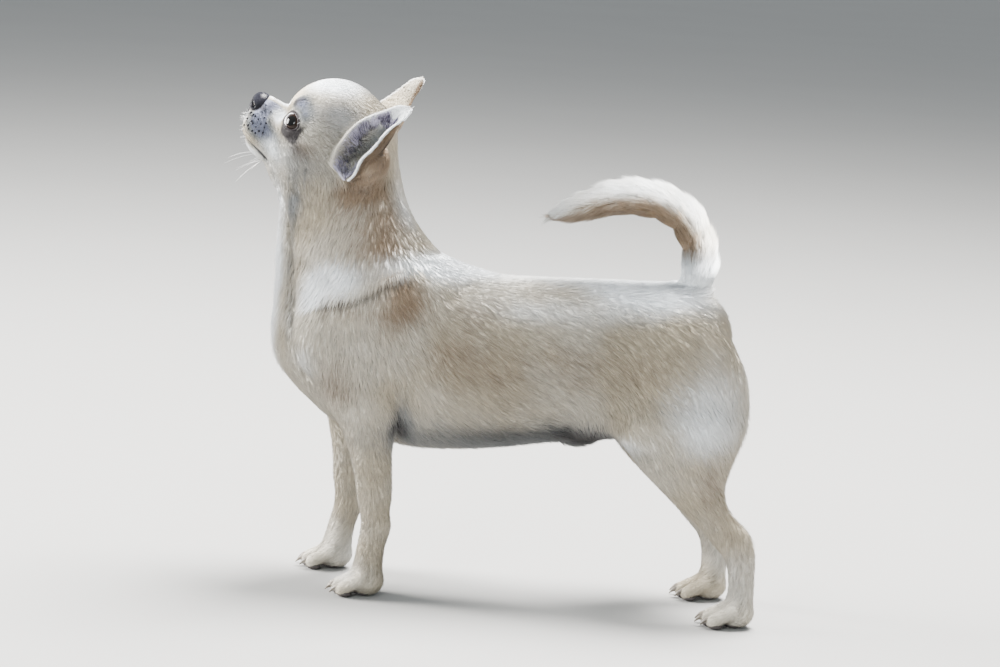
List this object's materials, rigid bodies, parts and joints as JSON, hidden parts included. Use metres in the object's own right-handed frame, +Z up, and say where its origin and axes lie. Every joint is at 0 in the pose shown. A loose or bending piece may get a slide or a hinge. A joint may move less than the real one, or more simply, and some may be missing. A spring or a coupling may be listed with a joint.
{
  "type": "chihuahua dog, standing",
  "caption": "A life-size smooth-coated chihuahua that stands with its head raised and its tail curled forward over its back.",
  "frame": {"origin": "Middle of the model's footprint, on the floor.", "axes": "+Z is up. The dog faces -X, its tail is toward +X and its left side is toward -Y."},
  "size_m": [0.3192, 0.0896, 0.3014],
  "materials": {
    "coat": "short smooth cream and fawn hair, matt",
    "nose_leather": "dark, fine-grained, slightly moist",
    "eye": "very dark brown, wet and glossy"
  },
  "bodies": {
    "root": {"torso": "coat", "neck": "coat", "head": "coat", "nose": "nose_leather", "eye_left": "eye", "eye_right": "eye", "ear_left": "coat", "ear_right": "coat", "tail_base": "coat", "tail_bend": "coat", "tail_tip": "coat", "front_leg_left": "coat", "front_leg_right": "coat", "front_paw_left": "coat", "front_paw_right": "coat", "hind_leg_left": "coat", "hind_leg_right": "coat", "hind_paw_left": "coat", "hind_paw_right": "coat"}
  },
  "joints": []
}
